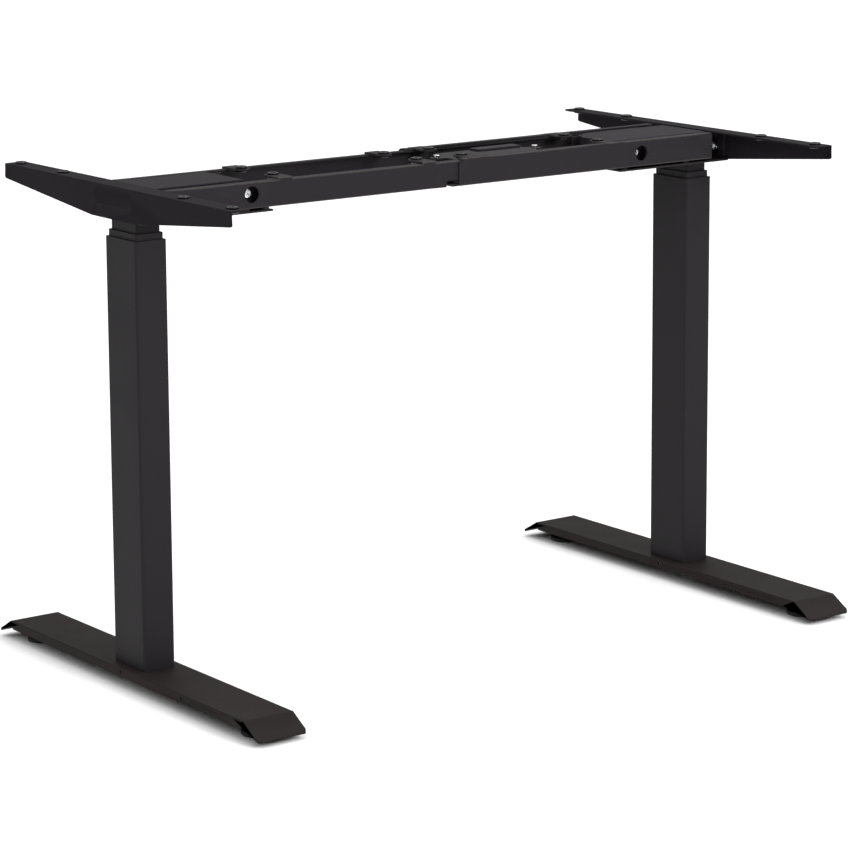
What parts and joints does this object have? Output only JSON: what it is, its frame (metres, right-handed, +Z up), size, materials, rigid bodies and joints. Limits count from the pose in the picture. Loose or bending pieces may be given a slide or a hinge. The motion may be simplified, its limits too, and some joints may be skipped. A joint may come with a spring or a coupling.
{
  "type": "standing desk frame",
  "caption": "Height adjustable desk frame: two feet, two three-stage lift columns, telescoping cross rails, side arms and a control box.",
  "frame": {"origin": "on the floor, midway between the two columns and midway front to back, with the lift down", "axes": "+X along the desk towards the control box half, +Y towards the back, +Z up"},
  "size_m": [1.058, 0.69, 0.709],
  "materials": {
    "powder_black": "satin",
    "foot_black": "satin",
    "rubber_black": "matte",
    "guide_black": "matte",
    "nylon_white": "matte",
    "cover_black": "gloss",
    "box_black": "satin",
    "zinc": "bright zinc plate",
    "machined_steel": "machined",
    "motor_steel": "satin",
    "cast_alloy": "cast"
  },
  "bodies": {
    "left_base": {"left_foot": "foot_black", "left_outer_tube": "powder_black", "left_outer_guide": "guide_black", "left_base_post": "machined_steel", "left_base_nut": "nylon_white", "left_foot_bolts": "zinc"},
    "left_middle": {"left_middle_tube": "powder_black", "left_middle_guides": "guide_black", "left_middle_post": "machined_steel", "left_middle_nut": "nylon_white"},
    "left_head": {"left_inner_tube": "powder_black", "left_inner_guide": "guide_black", "left_tray": "powder_black", "left_gearbox": "cast_alloy", "left_motor": "motor_steel", "left_motor_cover": "cover_black", "left_arm": "powder_black", "left_arm_bolts": "zinc", "left_arm_grommets": "rubber_black", "left_rail_front": "powder_black", "left_rail_rear": "powder_black", "left_rail_grommets": "rubber_black", "left_motor_bolts": "zinc", "left_rail_bolts": "zinc"},
    "left_hollow_screw": {"left_hollow_screw": "machined_steel"},
    "left_lead_screw": {"left_lead_screw": "machined_steel"},
    "left_front_glide": {"left_glide_front": "rubber_black"},
    "left_rear_glide": {"left_glide_rear": "rubber_black"},
    "right_base": {"right_foot": "foot_black", "right_outer_tube": "powder_black", "right_outer_guide": "guide_black", "right_base_post": "machined_steel", "right_base_nut": "nylon_white", "right_foot_bolts": "zinc"},
    "right_middle": {"right_middle_tube": "powder_black", "right_middle_guides": "guide_black", "right_middle_post": "machined_steel", "right_middle_nut": "nylon_white"},
    "right_head": {"right_inner_tube": "powder_black", "right_inner_guide": "guide_black", "right_tray": "powder_black", "right_gearbox": "cast_alloy", "right_motor": "motor_steel", "right_motor_cover": "cover_black", "right_arm": "powder_black", "right_arm_bolts": "zinc", "right_arm_grommets": "rubber_black", "right_rail_front": "powder_black", "right_rail_rear": "powder_black", "right_rail_grommets": "rubber_black", "right_motor_bolts": "zinc", "right_rail_bolts": "zinc", "slide_locks": "machined_steel", "control_box": "box_black", "control_strap": "powder_black", "control_screws": "zinc"},
    "right_hollow_screw": {"right_hollow_screw": "machined_steel"},
    "right_lead_screw": {"right_lead_screw": "machined_steel"},
    "right_front_glide": {"right_glide_front": "rubber_black"},
    "right_rear_glide": {"right_glide_rear": "rubber_black"}
  },
  "joints": [
    {"name": "left_lower_stage", "type": "slide", "parent": "left_base", "child": "left_middle", "axis": [0, 0, 1], "range_m": [0, 0.29]},
    {"name": "left_upper_stage", "type": "slide", "parent": "left_middle", "child": "left_head", "axis": [0, 0, 1], "range_m": [0, 0.29]},
    {"name": "frame_width", "type": "slide", "parent": "left_head", "child": "right_head", "axis": [1, 0, 0], "range_m": [-0.006, 0.34]},
    {"name": "right_upper_stage", "type": "slide", "parent": "right_head", "child": "right_middle", "axis": [0, 0, -1], "range_m": [0, 0.29]},
    {"name": "right_lower_stage", "type": "slide", "parent": "right_middle", "child": "right_base", "axis": [0, 0, -1], "range_m": [0, 0.29]},
    {"name": "left_lead_turn", "type": "hinge", "parent": "left_head", "child": "left_lead_screw", "pos_m": [-0.489, 0, 0.6], "axis": [0, 0, 1], "range_deg": [-5, 26105]},
    {"name": "left_hollow_turn", "type": "hinge", "parent": "left_middle", "child": "left_hollow_screw", "pos_m": [-0.489, 0, 0.4], "axis": [0, 0, 1], "range_deg": [-5, 26105]},
    {"name": "left_front_levelling", "type": "slide", "parent": "left_base", "child": "left_front_glide", "axis": [0, 0, -1], "range_m": [0, 0.008]},
    {"name": "left_rear_levelling", "type": "slide", "parent": "left_base", "child": "left_rear_glide", "axis": [0, 0, -1], "range_m": [0, 0.008]},
    {"name": "right_lead_turn", "type": "hinge", "parent": "right_head", "child": "right_lead_screw", "pos_m": [0.489, 0, 0.6], "axis": [0, 0, 1], "range_deg": [-5, 26105]},
    {"name": "right_hollow_turn", "type": "hinge", "parent": "right_middle", "child": "right_hollow_screw", "pos_m": [0.489, 0, 0.4], "axis": [0, 0, 1], "range_deg": [-5, 26105]},
    {"name": "right_front_levelling", "type": "slide", "parent": "right_base", "child": "right_front_glide", "axis": [0, 0, -1], "range_m": [0, 0.008]},
    {"name": "right_rear_levelling", "type": "slide", "parent": "right_base", "child": "right_rear_glide", "axis": [0, 0, -1], "range_m": [0, 0.008]}
  ],
  "couplings": [
    {"joint": "left_upper_stage", "follows": "left_lower_stage", "ratio": 1},
    {"joint": "right_upper_stage", "follows": "left_lower_stage", "ratio": 1},
    {"joint": "right_lower_stage", "follows": "left_lower_stage", "ratio": 1},
    {"joint": "left_lead_turn", "follows": "left_lower_stage", "rad_per_m": 1570.8},
    {"joint": "left_hollow_turn", "follows": "left_lower_stage", "rad_per_m": 1570.8},
    {"joint": "right_lead_turn", "follows": "left_lower_stage", "rad_per_m": 1570.8},
    {"joint": "right_hollow_turn", "follows": "left_lower_stage", "rad_per_m": 1570.8}
  ]
}
